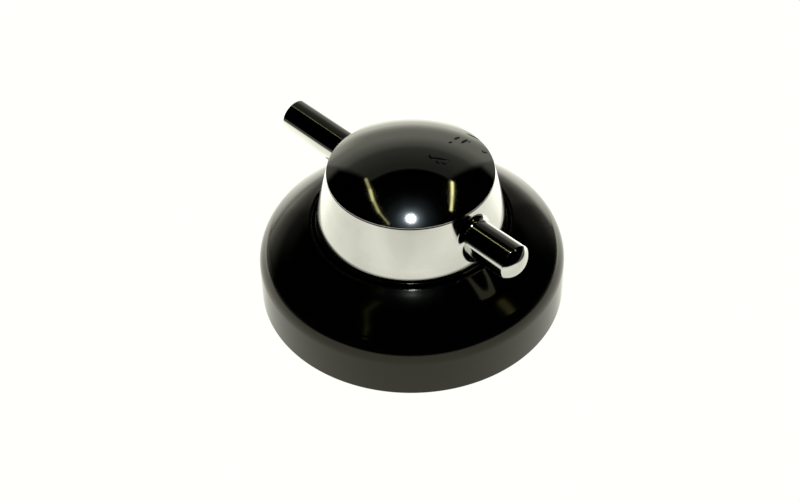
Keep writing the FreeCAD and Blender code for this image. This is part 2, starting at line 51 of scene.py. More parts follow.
class Shell:
    """Faces with a given normal at every corner, so that gloss runs smoothly over them."""

    def __init__(self):
        self.points, self.faces, self.normals = [], [], []

    def point(self, x, y, z):
        self.points.append(metres(x, y, z))
        return len(self.points) - 1

    def face(self, corners):
        """corners: (point index, normal) in turn; a corner that repeats a point is dropped."""
        kept = []
        for index, normal in corners:
            if all(index != other for other, _ in kept):
                kept.append((index, normal))
        if len(kept) < 3:
            return
        a, b, c = (self.points[kept[i][0]] for i in (0, 1, 2))
        flat = (b - a).cross(c - a)
        mean = sum((Vector(normal) for _, normal in kept), Vector())
        if flat.dot(mean) < 0:
            kept.reverse()
        self.faces.append([index for index, _ in kept])
        self.normals.extend(tuple(Vector(normal).normalized()) for _, normal in kept)

    def grid(self, rows, normals, closed):
        """rows[i][j] are point indices and normals[i][j] their normals.
        closed joins the last column to the first."""
        for i in range(len(rows) - 1):
            columns = len(rows[i])
            for j in range(columns if closed else columns - 1):
                k = (j + 1) % columns
                self.face([(rows[i][j], normals[i][j]), (rows[i][k], normals[i][k]),
                           (rows[i + 1][k], normals[i + 1][k]), (rows[i + 1][j], normals[i + 1][j])])

    def finished(self, name):
        mesh = bpy.data.meshes.new(name)
        mesh.from_pydata(self.points, [], self.faces)
        mesh.polygons.foreach_set("use_smooth", [True] * len(mesh.polygons))
        mesh.normals_split_custom_set(self.normals)
        mesh.update()
        obj = bpy.data.objects.new(name, mesh)
        bpy.context.scene.collection.objects.link(obj)
        return obj


def arc_piece(centre, radius, start, end, sense=1, step=3.0):
    """Points and normals of an arc; sense -1 turns the normals towards its centre."""
    count = max(2, int(math.ceil(abs(math.degrees(end - start)) / step)))
    points, normals = [], []
    for i in range(count + 1):
        a = start + (end - start) * i / count
        points.append((centre[0] + radius * math.cos(a), centre[1] + radius * math.sin(a)))
        normals.append((sense * math.cos(a), sense * math.sin(a)))
    return points, normals


def line_piece(start, end):
    across, up = end[0] - start[0], end[1] - start[1]
    length = math.hypot(across, up)
    normal = (up / length, -across / length)
    return [start, end], [normal, normal]


def outline_pieces(corners, closed=True):
    """An outline, counter-clockwise round the material, as lines and roundings.
    Corners are (r, z) or (r, z, rounding)."""
    count = len(corners)
    entries, exits, roundings = [], [], []
    for i, corner in enumerate(corners):
        here = Vector(corner[:2])
        before, after = Vector(corners[i - 1][:2]), Vector(corners[(i + 1) % count][:2])
        radius = corner[2] if len(corner) > 2 else 0
        if not radius:
            entries.append(tuple(here))
            exits.append(tuple(here))
            roundings.append(None)
            continue
        back, ahead = (before - here).normalized(), (after - here).normalized()
        half = math.acos(max(-1, min(1, back.dot(ahead)))) / 2
        entry, leave = here + back * (radius / math.tan(half)), here + ahead * (radius / math.tan(half))
        centre = here + (back + ahead).normalized() * (radius / math.sin(half))
        start = math.atan2(entry.y - centre.y, entry.x - centre.x)
        turn = math.atan2(leave.y - centre.y, leave.x - centre.x) - start
        turn = (turn + math.pi) % (2 * math.pi) - math.pi
        entries.append(tuple(entry))
        exits.append(tuple(leave))
        roundings.append(arc_piece(tuple(centre), radius, start, start + turn, 1 if turn > 0 else -1))
    pieces = []
    for i in range(count):
        if roundings[i]:
            pieces.append(roundings[i])
        if closed or i < count - 1:
            start, end = exits[i], entries[(i + 1) % count]
            if math.hypot(end[0] - start[0], end[1] - start[1]) > 1e-6:
                pieces.append(line_piece(start, end))
    return pieces


def turned(shell, pieces, centre=(0, 0), segments=SEGMENTS):
    """Turns an outline round an upright axis."""
    ring_of = {}

    def ring(point):
        key = (round(point[0], 5), round(point[1], 5))
        if key not in ring_of:
            if key[0] < 1e-4:
                ring_of[key] = [shell.point(centre[0], centre[1], point[1])] * segments
            else:
                ring_of[key] = [shell.point(centre[0] + point[0] * math.cos(2 * math.pi * j / segments),
                                            centre[1] + point[0] * math.sin(2 * math.pi * j / segments),
                                            point[1]) for j in range(segments)]
        return ring_of[key]

    for points, normals in pieces:
        rows = [ring(p) for p in points]
        turned_normals = [[(n[0] * math.cos(2 * math.pi * j / segments),
                            n[0] * math.sin(2 * math.pi * j / segments), n[1])
                           for j in range(segments)] for n in normals]
        shell.grid(rows, turned_normals, True)


def prism(shell, outline, low, high, turn=0.0, upright=True):
    """A straight prism with flat faces. upright: outline in XY from low to high in Z.
    Otherwise outline is (distance from the Z axis, height), low to high is its thickness, and it is
    turned about Z."""
    cos, sin = math.cos(turn), math.sin(turn)

    def place(p, level):
        if upright:
            return shell.point(p[0], p[1], level)
        return shell.point(p[0] * cos - level * sin, p[0] * sin + level * cos, p[1])

    ends = [[place(p, level) for p in outline] for level in (low, high)]
    axis = Vector((0, 0, 1)) if upright else Vector((-sin, cos, 0))
    for row, normal in ((ends[0], -axis), (ends[1], axis)):
        shell.face([(index, normal) for index in row])
    middle = sum((shell.points[i] for i in ends[0]), Vector()) / len(outline)
    for i in range(len(outline)):
        k = (i + 1) % len(outline)
        a, b = shell.points[ends[0][i]], shell.points[ends[0][k]]
        normal = (b - a).cross(axis).normalized()
        if normal.dot((a + b) / 2 - middle) < 0:
            normal = -normal
        shell.face([(ends[0][i], normal), (ends[0][k], normal), (ends[1][k], normal), (ends[1][i], normal)])


# Bezel

def bezel_piece():
    """The black bell with its sleeve, its floor and four ribs, open underneath."""
    outer, foot, crest, opening, ledge = 25.0, 8.9, 14.84, 15.8, 12.35
    foot_rounding, inner_rounding, crest_rounding, rim_rounding = 5.0, 3.0, 0.6, 0.3
    wall, deck = 2.0, 1.8
    bearing, sleeve, sleeve_foot = 6.05, 8.0, 3.2
    rib_foot, rib_start, rib_end, half_rib = 4.2, 7.0, 24.0, 0.6
    run = (outer - opening) / 2
    crown = (foot + crest) / 2 + 0.88
    lower, upper = math.atan((crown - foot) / run), math.atan((crest - crown) / run)
    free = min(math.hypot(run, crown - foot) - foot_rounding * math.tan((math.pi / 2 - lower) / 2),
               math.hypot(run, crest - crown) - crest_rounding * math.tan((math.pi / 2 + upper) / 2))
    shoulder = 0.9 * free / math.tan((lower - upper) / 2)
    inner, under = outer - wall, ledge - deck
    inner_foot = foot - wall * math.tan((math.pi / 2 - lower) / 2)
    reach = inner - (under - inner_foot) / math.tan(lower)
    shell = Shell()
    turned(shell, outline_pieces([
        (outer, 0, rim_rounding), (outer, foot, foot_rounding), (outer - run, crown, shoulder),
        (opening, crest, crest_rounding), (opening, ledge), (bearing, ledge), (bearing, sleeve_foot),
        (sleeve, sleeve_foot), (sleeve, under), (reach, under), (inner, inner_foot, inner_rounding),
        (inner, 0, rim_rounding)]))
    rib = [(rib_start, rib_foot), (rib_end, rib_foot), (rib_end, 7.9), (20.4, crown - 1.3), (16.8, 12.3),
           (rib_start, 11.45)]
    for quarter in range(4):
        prism(shell, rib, -half_rib, half_rib, math.radians(45 + 90 * quarter), upright=False)
    return shell.finished("bezel_skirt")


# Hub

def hub_piece():
    """The black stem with its flange, the step that carries the ring, and the screw bosses."""
    bore, drive, stem = 3.03, 3.23, 6.0
    groove, groove_foot, groove_top = 5.4, 2.0, 3.2
    flange, flange_foot, flange_top = 15.55, 12.45, 14.7
    seat, spigot, spigot_top = 13.4, 12.15, 15.9
    guide_top, bore_top = 5.3, 13.3
    shell = Shell()
    turned(shell, outline_pieces([
        (bore, RECESS, 0.15), (stem, RECESS, 0.4), (stem, groove_foot), (groove, groove_foot),
        (groove, groove_top), (stem, groove_top), (stem, flange_foot), (flange, flange_foot),
        (flange, flange_top, 0.3), (seat, flange_top), (seat, BAND_FOOT), (spigot, BAND_FOOT),
        (spigot, spigot_top), (0, spigot_top), (0, bore_top), (drive, bore_top), (drive, guide_top),
        (bore, guide_top)]))
    # The walls round the leaf spring's slot make the bore D-shaped
    flat, slot_half, slot_back, slot_top = 1.5, 1.7, 2.95, 13.35
    wall_end, side_end, back_half, bridge_foot = 3.43, 2.85, 1.75, 12.7
    for side in (-1, 1):
        prism(shell, [(side * slot_half, flat), (side * side_end, flat), (side * side_end, wall_end),
                      (side * slot_half, wall_end)], guide_top, slot_top)
    for near, foot in ((slot_back, guide_top), (flat, bridge_foot)):
        prism(shell, [(-back_half, near), (back_half, near), (back_half, wall_end), (-back_half, wall_end)],
              foot, slot_top)
    boss_radius, boss_foot, boss_top = 2.3, 15.8, 16.9
    pilot_radius, pilot_foot = 1.0, 16.0
    for third in range(3):
        turn = math.radians(90 + 120 * third)
        boss = outline_pieces([(0, boss_foot), (boss_radius, boss_foot), (boss_radius, boss_top),
                               (pilot_radius, boss_top), (pilot_radius, pilot_foot), (0, pilot_foot)],
                              closed=False)
        turned(shell, boss, (SCREW_CIRCLE * math.cos(turn), SCREW_CIRCLE * math.sin(turn)), 32)
    return shell.finished("hub_turning")


# Chromed ring with its two bars

BAND_FOOT, BAND_TOP = 14.9, 24.35
TOP_RADIUS = 13.36
# The side of the band leans in by 13 degrees at the top and curves to upright at the foot
LEAN, LEAN_FOOT, FOOT_CURVE = math.radians(12.9), 17.2, 15.0
CURVE_LEVEL = LEAN_FOOT - FOOT_CURVE * math.sin(LEAN)
CURVE_AXIS = TOP_RADIUS + (BAND_TOP - LEAN_FOOT) * math.tan(LEAN) - FOOT_CURVE * math.cos(LEAN)
BAR_HEIGHT, BAR_RADIUS, ROOT_ROUNDING = 19.7, 3.0, 1.1
SHORT_REACH, LONG_REACH, BAR_COLUMNS = 23.95, 29.0, 96
# Columns of the band on each side of a bar that its window takes up
WINDOW = 16


def band_radius(z, off=0.0):
    """The band's radius at a height, or that of a skin at a distance off it."""
    if z > LEAN_FOOT + off * math.sin(LEAN):
        return TOP_RADIUS + (BAND_TOP - z) * math.tan(LEAN) + off / math.cos(LEAN)
    return CURVE_AXIS + math.sqrt((FOOT_CURVE + off) ** 2 - (z - CURVE_LEVEL) ** 2)


def band_normal(turn, z, off=0.0):
    up = min(math.sin(LEAN), (z - CURVE_LEVEL) / (FOOT_CURVE + off))
    flat = math.sqrt(1 - up * up)
    return (math.cos(turn) * flat, math.sin(turn) * flat, up)


def bar(shell, side, reach):
    """One bar with its root rounding; side is 1 for +X and -1 for -X. Returns the root's loop on the band."""
    crown, edge = 1.4, 0.3
    angles = [2 * math.pi * j / BAR_COLUMNS for j in range(BAR_COLUMNS)]
    rows, normals = [], []
    steps = 10
    for i in range(steps + 1):
        row, row_normals = [], []
        for a in angles:
            y = (BAR_RADIUS + ROOT_ROUNDING) * math.cos(a)
            z = BAR_HEIGHT + (BAR_RADIUS + ROOT_ROUNDING) * math.sin(a)
            x = math.sqrt(band_radius(z, ROOT_ROUNDING) ** 2 - y * y)
            centre = Vector((x, y, z))
            to_band = -Vector(band_normal(math.atan2(y, x), z, ROOT_ROUNDING))
            to_bar = Vector((0, -math.cos(a), -math.sin(a)))
            whole = to_band.angle(to_bar)
            part = i / steps
            way = (to_band * math.sin((1 - part) * whole) + to_bar * math.sin(part * whole)) / math.sin(whole)
            p = centre + way * ROOT_ROUNDING
            row.append(shell.point(side * p.x, p.y, p.z))
            row_normals.append((-side * way.x, -way.y, -way.z))
        rows.append(row)
        normals.append(row_normals)
    shell.grid(rows, normals, True)
    ball = (BAR_RADIUS ** 2 + crown ** 2) / (2 * crown)
    ball_x = reach - ball
    edge_x = ball_x + math.sqrt((ball - edge) ** 2 - (BAR_RADIUS - edge) ** 2)
    tip = math.atan2(BAR_RADIUS - edge, edge_x - ball_x)
    outline = []
    for i in range(9):
        a = math.pi / 2 - (math.pi / 2 - tip) * i / 8
        outline.append(((edge_x + edge * math.cos(a), BAR_RADIUS - edge + edge * math.sin(a)),
                        (math.cos(a), math.sin(a))))
    for i in range(1, 13):
        a = tip * (1 - i / 12)
        outline.append(((ball_x + ball * math.cos(a), ball * math.sin(a)), (math.cos(a), math.sin(a))))
    last = rows[-1]
    tube, tube_normals = [last], [[(0, math.cos(a), math.sin(a)) for a in angles]]
    for (x, r), (nx, nr) in outline:
        if r < 1e-6:
            tube.append([shell.point(side * x, 0, BAR_HEIGHT)] * BAR_COLUMNS)
        else:
            tube.append([shell.point(side * x, r * math.cos(a), BAR_HEIGHT + r * math.sin(a))
                         for a in angles])
        tube_normals.append([(side * nx, nr * math.cos(a), nr * math.sin(a)) for a in angles])
    shell.grid(tube, tube_normals, True)
    return rows[0]


def inside(outline, p):
    """Whether a flat point lies inside a closed outline."""
    odd = False
    for i in range(len(outline)):
        a, b = outline[i - 1], outline[i]
        if (a.y > p.y) != (b.y > p.y) and p.x < (b.x - a.x) * (p.y - a.y) / (b.y - a.y) + a.x:
            odd = not odd
    return odd


def fill_window(shell, rows, loop, side):
    """Fills the band's window round a bar, from the window's edge to the loop of the bar's root."""
    mean_radius, margin = 14.0, 0.12
    middle = 0 if side > 0 else SEGMENTS // 2
    flat, owner = [], []

    def spread(index):
        """A point of the band, flattened to its arc length and height."""
        p = shell.points[index]
        return math.atan2(p.y, side * p.x) * mean_radius, p.z * 1000

    def add(index):
        flat.append(Vector([round(value, 4) for value in spread(index)]))
        owner.append(index)
        return len(flat) - 1

    inner = [add(index) for index in loop]
    columns = [(middle + j) % SEGMENTS for j in range(-WINDOW, WINDOW + 1)]
    border = [rows[0][j] for j in columns] + [row[columns[-1]] for row in rows[1:-1]]
    border += [rows[-1][j] for j in reversed(columns)] + [row[columns[0]] for row in reversed(rows[1:-1])]
    outer = [add(index) for index in border]
    hole = [flat[i] for i in inner]
    centre = sum(hole, Vector((0, 0))) / len(hole)
    hole_radius = max((p - centre).length for p in hole)
    for row in rows[1:-1]:
        for j in columns[1:-1]:
            if (Vector(spread(row[j])) - centre).length > hole_radius + margin:
                add(row[j])
    edges = [(line[i], line[(i + 1) % len(line)]) for line in (inner, outer) for i in range(len(line))]
    found = delaunay_2d_cdt(flat, edges, [], 0, 1e-5, True)
    spots, triangles, source = found[0], found[2], found[3]
    for triangle in triangles:
        if inside(hole, sum((spots[i] for i in triangle), Vector((0, 0))) / 3):
            continue
        corners = []
        for i in triangle:
            index = owner[source[i][0]]
            p = shell.points[index]
            corners.append((index, band_normal(math.atan2(p.y, p.x), p.z * 1000 + RECESS)))
        shell.face(corners)


def ring_piece():
    """The chromed casting: band, web and two bars in one skin."""
    socket, cup, web_under, web_top = 12.2, 11.5, 16.9, 18.5
    foot_step, half_way = 0.4, 20
    # Only the band's side lies further out than this
    side_limit = 13
    shell = Shell()
    pieces = outline_pieces([
        (0, web_under), (socket, web_under), (socket, BAND_FOOT), (band_radius(BAND_FOOT), BAND_FOOT, 0.25),
        (band_radius(BAND_FOOT + foot_step), BAND_FOOT + foot_step), (band_radius(half_way), half_way),
        (TOP_RADIUS, BAND_TOP, 0.3), (cup, BAND_TOP), (cup, web_top), (0, web_top)], closed=False)
    # The band itself stands in for the two long sloping lines; it is built apart, with a hole for each bar
    sloping = [p for p in pieces
               if len(p[0]) == 2 and p[0][0][0] > side_limit and p[0][1][1] - p[0][0][1] > 1]
    pieces = [p for p in pieces if p not in sloping]
    low, high = sloping[0][0][0][1], sloping[-1][0][1][1]
    levels = 25
    heights = [low + (high - low) * i / (levels - 1) for i in range(levels)]
    turn_of = [2 * math.pi * j / SEGMENTS for j in range(SEGMENTS)]
    rows = [[shell.point(band_radius(z) * math.cos(t), band_radius(z) * math.sin(t), z) for t in turn_of]
            for z in heights]

    def ring(point):
        if abs(point[1] - low) < 1e-6 and point[0] > side_limit:
            return rows[0]
        if abs(point[1] - high) < 1e-6 and point[0] > side_limit:
            return rows[-1]
        if point[0] < 1e-4:
            return [shell.point(0, 0, point[1])] * SEGMENTS
        return [shell.point(point[0] * math.cos(t), point[0] * math.sin(t), point[1]) for t in turn_of]

    last = {}
    for points, normals in pieces:
        made = []
        for p in points:
            key = (round(p[0], 5), round(p[1], 5))
            if key not in last:
                last[key] = ring(p)
            made.append(last[key])
        shell.grid(made, [[(n[0] * math.cos(t), n[0] * math.sin(t), n[1]) for t in turn_of]
                          for n in normals], True)

    half = SEGMENTS // 2
    for first, end in ((WINDOW, half - WINDOW), (half + WINDOW, SEGMENTS - WINDOW)):
        columns = range(first, end + 1)
        shell.grid([[row[j % SEGMENTS] for j in columns] for row in rows],
                   [[band_normal(turn_of[j % SEGMENTS], z) for j in columns] for z in heights], False)
    for side, reach in ((1, SHORT_REACH), (-1, LONG_REACH)):
        fill_window(shell, rows, bar(shell, side, reach), side)
    return shell.finished("ring_casting")


# Cap

CAP_EDGE, CAP_LIP, CAP_RISE, CAP_THICKNESS = 13.36, 0.1, 3.15, 1.8


def cap_piece():
    """The chromed dome with its spigot in the ring and three pegs."""
    low, apex = BAND_TOP, BAND_TOP + CAP_LIP + CAP_RISE
    dome = (CAP_EDGE ** 2 + CAP_RISE ** 2) / (2 * CAP_RISE)
    centre = apex - dome
    rounding = 0.12
    corner_z = centre + math.sqrt((dome - rounding) ** 2 - (CAP_EDGE - rounding) ** 2)
    tip = math.atan2(corner_z - centre, CAP_EDGE - rounding)
    inside_radius = dome - CAP_THICKNESS
    hollow, spigot, spigot_depth = 10.05, 11.45, 1.6
    inner_angle = math.acos(hollow / inside_radius)
    hollow_top = centre + inside_radius * math.sin(inner_angle)
    foot = low - spigot_depth
    pieces = [
        line_piece((hollow, hollow_top), (hollow, foot)), line_piece((hollow, foot), (spigot, foot)),
        line_piece((spigot, foot), (spigot, low)), line_piece((spigot, low), (CAP_EDGE, low)),
        line_piece((CAP_EDGE, low), (CAP_EDGE, corner_z)),
        arc_piece((CAP_EDGE - rounding, corner_z), rounding, 0, tip, step=6),
        arc_piece((0, centre), dome, tip, math.pi / 2, step=0.6),
        arc_piece((0, centre), inside_radius, math.pi / 2, inner_angle, -1, step=2),
    ]
    shell = Shell()
    turned(shell, pieces)
    peg_radius, peg_foot, peg_top = 1.25, 17.3, 25.4
    peg = outline_pieces([(0, peg_foot), (peg_radius, peg_foot), (peg_radius, peg_top), (0, peg_top)],
                         closed=False)
    for third in range(3):
        turn = math.radians(30 + 120 * third)
        turned(shell, peg, (SCREW_CIRCLE * math.cos(turn), SCREW_CIRCLE * math.sin(turn)), 32)
    return shell.finished("cap_dome")


skirt = bezel_piece()
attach(skirt, "bezel")
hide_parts("bezel")
hub = hub_piece()
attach(hub, "knob")
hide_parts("hub")
ring = ring_piece()
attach(ring, "knob")
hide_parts("handle_ring")
cap = cap_piece()
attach(cap, "knob")
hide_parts("dome_cap")


# Node groups and materials

def new_group(name, inputs, outputs):
    group = bpy.data.node_groups.new(name, "ShaderNodeTree")
    for label, kind, value in inputs:
        socket = group.interface.new_socket(name=label, in_out="INPUT", socket_type=kind)
        socket.default_value = value
    for label, kind in outputs:
        group.interface.new_socket(name=label, in_out="OUTPUT", socket_type=kind)
    return group, group.nodes.new("NodeGroupInput"), group.nodes.new("NodeGroupOutput")


def node(tree, kind, **settings):
    made = tree.nodes.new(kind)
    for key, value in settings.items():
        setattr(made, key, value)
    return made


def feed(tree, socket, value):
    """Links a socket to another one, or gives it a value."""
    if hasattr(value, "links"):
        tree.links.new(value, socket)
    else:
        socket.default_value = value


def math_node(tree, operation, first, second=None, third=None, clamp=False):
    made = node(tree, "ShaderNodeMath", operation=operation, use_clamp=clamp)
    for index, value in enumerate((first, second, third)):
        if value is not None:
            feed(tree, made.inputs[index], value)
    return made.outputs[0]


def vector_node(tree, operation, first, second=None):
    made = node(tree, "ShaderNodeVectorMath", operation=operation)
    for index, value in enumerate((first, second)):
        if value is not None:
            feed(tree, made.inputs[index], value)
    return made.outputs["Value" if operation in ("DOT_PRODUCT", "LENGTH") else "Vector"]


def ramp_between(tree, value, low, high, out_low=0.0, out_high=1.0, smooth=True):
    kind = "SMOOTHSTEP" if smooth else "LINEAR"
    made = node(tree, "ShaderNodeMapRange", clamp=True, interpolation_type=kind)
    tree.links.new(value, made.inputs["Value"])
    for label, number in (("From Min", low), ("From Max", high), ("To Min", out_low), ("To Max", out_high)):
        made.inputs[label].default_value = number
    return made.outputs["Result"]


def colour_ramp(tree, value, stops, tint):
    """A ramp through (place, level) stops; each level is multiplied by the tint."""
    made = node(tree, "ShaderNodeValToRGB")
    tree.links.new(value, made.inputs["Fac"])
    elements = made.color_ramp.elements
    while len(elements) < len(stops):
        elements.new(0.5)
    for element, (place, level) in zip(elements, stops):
        element.position = place
    for element, (place, level) in zip(elements, stops):
        element.color = (*(level * share for share in tint), 1)
    return made.outputs["Color"]


def blend(tree, kind, mask, low, high):
    """Mixes two numbers (kind FLOAT) or two colours (kind RGBA) by a mask."""
    made = node(tree, "ShaderNodeMix", data_type=kind)
    first, result = {"FLOAT": (2, 0), "RGBA": (6, 2)}[kind]
    feed(tree, made.inputs[0], mask)
    feed(tree, made.inputs[first], low)
    feed(tree, made.inputs[first + 1], high)
    return made.outputs[result]


def noise(tree, place, scale, detail=2):
    made = node(tree, "ShaderNodeTexNoise", noise_dimensions="3D")
    made.inputs["Scale"].default_value = scale
    made.inputs["Detail"].default_value = detail
    tree.links.new(place, made.inputs["Vector"])
    return made.outputs["Fac"]


def emission(tree, colour, strength):
    made = node(tree, "ShaderNodeEmission")
    feed(tree, made.inputs["Color"], colour)
    feed(tree, made.inputs["Strength"], strength)
    return made


def split_by_ray(tree, seen, mirrored, output):
    """The camera sees one shader, and the knob's gloss mirrors the other."""
    choose = node(tree, "ShaderNodeMixShader")
    tree.links.new(node(tree, "ShaderNodeLightPath").outputs["Is Camera Ray"], choose.inputs[0])
    tree.links.new(mirrored.outputs[0], choose.inputs[1])
    tree.links.new(seen.outputs[0], choose.inputs[2])
    tree.links.new(choose.outputs[0], node(tree, output).inputs["Surface"])


def moulding_group():
    """The faint waviness and the uneven gloss of a polished moulding."""
    group, ins, outs = new_group("moulding_surface", [
        ("Position", "NodeSocketVector", (0, 0, 0)), ("Roughness", "NodeSocketFloat", 0.05),
        ("Unevenness", "NodeSocketFloat", 0.03), ("Wave", "NodeSocketFloat", 1.0)],
        [("Roughness", "NodeSocketFloat"), ("Normal", "NodeSocketVector")])
    place = ins.outputs["Position"]
    spread = ramp_between(group, noise(group, place, 260, 3), 0.35, 0.7)
    rough = math_node(group, "MULTIPLY_ADD", spread, ins.outputs["Unevenness"], ins.outputs["Roughness"])
    group.links.new(rough, outs.inputs["Roughness"])
    bump = node(group, "ShaderNodeBump")
    bump.inputs["Distance"].default_value = 0.00001
    group.links.new(ins.outputs["Wave"], bump.inputs["Strength"])
    group.links.new(noise(group, place, 110, 1), bump.inputs["Height"])
    group.links.new(bump.outputs["Normal"], outs.inputs["Normal"])
    return group


def blot_group():
    """A small mark with a torn edge: 1 inside, 0 outside, longer along one direction."""
    group, ins, outs = new_group("blot", [
        ("Position", "NodeSocketVector", (0, 0, 0)), ("Centre", "NodeSocketVector", (0, 0, 0)),
        ("Along", "NodeSocketVector", (1, 0, 0)), ("Size", "NodeSocketFloat", 0.0003),
        ("Stretch", "NodeSocketFloat", 1.0)], [("Mask", "NodeSocketFloat")])
    away = vector_node(group, "SUBTRACT", ins.outputs["Position"], ins.outputs["Centre"])
    length = vector_node(group, "LENGTH", away)
    along = vector_node(group, "DOT_PRODUCT", away, ins.outputs["Along"])
    square = math_node(group, "MULTIPLY", length, length)
    along_square = math_node(group, "MULTIPLY", along, along)
    across = math_node(group, "SUBTRACT", square, along_square)
    shrunk = math_node(group, "DIVIDE", along, ins.outputs["Stretch"])
    total = math_node(group, "SQRT", math_node(group, "MAXIMUM", math_node(
        group, "ADD", across, math_node(group, "MULTIPLY", shrunk, shrunk)), 0.0))
    share = math_node(group, "DIVIDE", total, ins.outputs["Size"])
    tear = 1.2
    ragged = math_node(group, "MULTIPLY_ADD", noise(group, ins.outputs["Position"], 5200, 3), tear, -tear / 2)
    torn = math_node(group, "ADD", share, ragged)
    group.links.new(ramp_between(group, torn, 0.7, 1.15, 1.0, 0.0), outs.inputs["Mask"])
    return group


def dust_group():
    """Fine specks of dust, few and far between."""
    group, ins, outs = new_group("fine_dust", [
        ("Position", "NodeSocketVector", (0, 0, 0)), ("Share", "NodeSocketFloat", 0.02)],
        [("Mask", "NodeSocketFloat")])
    cells = node(group, "ShaderNodeTexVoronoi", voronoi_dimensions="3D", feature="F1")
    cells.inputs["Scale"].default_value = 1400
    group.links.new(ins.outputs["Position"], cells.inputs["Vector"])
    chosen = node(group, "ShaderNodeSeparateColor")
    group.links.new(cells.outputs["Color"], chosen.inputs["Color"])
    few = math_node(group, "LESS_THAN", chosen.outputs["Red"], ins.outputs["Share"])
    near = ramp_between(group, cells.outputs["Distance"], 0.05, 0.16, 1.0, 0.0)
    group.links.new(math_node(group, "MULTIPLY", few, near), outs.inputs["Mask"])
    return group


def strip_group():
    """A straight strip of light on the sky, from Start along Run: 1 inside, 0 outside."""
    group, ins, outs = new_group("strip", [
        ("Way", "NodeSocketVector", (0, 0, 0)), ("Start", "NodeSocketVector", (0, 0, 0)),
        ("Run", "NodeSocketVector", (1, 0, 0)), ("Length Squared", "NodeSocketFloat", 1.0),
        ("Width", "NodeSocketFloat", 0.02)], [("Mask", "NodeSocketFloat")])
    from_start = vector_node(group, "SUBTRACT", ins.outputs["Way"], ins.outputs["Start"])
    along = vector_node(group, "DOT_PRODUCT", from_start, ins.outputs["Run"])
    share = math_node(group, "DIVIDE", along, ins.outputs["Length Squared"], clamp=True)
    nearest = node(group, "ShaderNodeVectorMath", operation="SCALE")
    group.links.new(ins.outputs["Run"], nearest.inputs[0])
    group.links.new(share, nearest.inputs["Scale"])
    off = vector_node(group, "SUBTRACT", from_start, nearest.outputs["Vector"])
    gap = math_node(group, "DIVIDE", vector_node(group, "LENGTH", off), ins.outputs["Width"])
    group.links.new(ramp_between(group, gap, 0.55, 1.0, 1, 0), outs.inputs["Mask"])
    return group


MOULDING, BLOT, DUST, STRIP = moulding_group(), blot_group(), dust_group(), strip_group()


def use_group(tree, group, **values):
    made = node(tree, "ShaderNodeGroup", node_tree=group)
    for label, value in values.items():
        feed(tree, made.inputs[label], value)
    return made


def new_material(name):
    material = bpy.data.materials.new(name)
    material.use_nodes = True
    tree = material.node_tree
    shader = tree.nodes["Principled BSDF"]
    place = tree.nodes.new("ShaderNodeTexCoord").outputs["Object"]
    return material, tree, shader, place


def black_plastic(name, roughness, unevenness, wave, dust):
    """Polished black plastic, warm in its reflections, with fine dust on it."""
    darkest, lightest = (0.0006, 0.0006, 0.0007, 1), (0.0012, 0.0012, 0.0012, 1)
    dusty, dust_roughness = (0.06, 0.057, 0.05, 1), 0.6
    material, tree, shader, place = new_material(name)
    shader.inputs["IOR"].default_value = 1.5
    shader.inputs["Specular Tint"].default_value = (0.76, 0.74, 0.57, 1)
    surface = use_group(tree, MOULDING, Position=place, Roughness=roughness,
                        Unevenness=unevenness, Wave=wave)
    specks = use_group(tree, DUST, Position=place, Share=dust).outputs["Mask"]
    colour = blend(tree, "RGBA", noise(tree, place, 90), darkest, lightest)
    colour = blend(tree, "RGBA", specks, colour, dusty)
    rough = blend(tree, "FLOAT", specks, surface.outputs["Roughness"], dust_roughness)
    tree.links.new(colour, shader.inputs["Base Color"])
    tree.links.new(rough, shader.inputs["Roughness"])
    tree.links.new(surface.outputs["Normal"], shader.inputs["Normal"])
    return material


# Dark specks and scratches at the back of the dome: middle, direction, half the width and length over width
SPECKS = (
    ((2.32, 2.09, 27.44), (0.89, -0.46, -0.04), 0.16, 3.0),
    ((3.37, 2.82, 27.26), (0.73, 0.67, -0.15), 0.18, 6.7),
    ((3.88, 2.08, 27.27), (0.99, -0.06, -0.13), 0.17, 2.1),
    ((4.65, 2.72, 27.11), (0.84, 0.51, -0.18), 0.17, 2.0),
    ((0.93, 9.45, 26.05), (-0.17, 0.94, -0.31), 0.21, 3.0),
    ((1.38, 7.50, 26.61), (-0.04, 0.97, -0.25), 0.16, 1.9),
    ((2.08, 10.01, 25.79), (-0.21, 0.93, -0.31), 0.22, 3.6),
    ((2.50, 10.69, 25.51), (-0.16, 0.93, -0.34), 0.12, 2.2),
    ((1.28, 12.72, 24.72), (0.94, 0.30, -0.19), 0.18, 4.7),
    ((5.27, 10.90, 25.04), (0.88, -0.48, 0.02), 0.13, 2.2),
    ((5.55, 11.01, 24.94), (0.45, 0.79, -0.41), 0.15, 2.7),
)

# The torn edge eats into a mark, so each is drawn this much larger
TORN_SHARE = 1.4
MARK_COLOUR, MARK_ROUGHNESS = (0.012, 0.011, 0.010, 1), 0.55


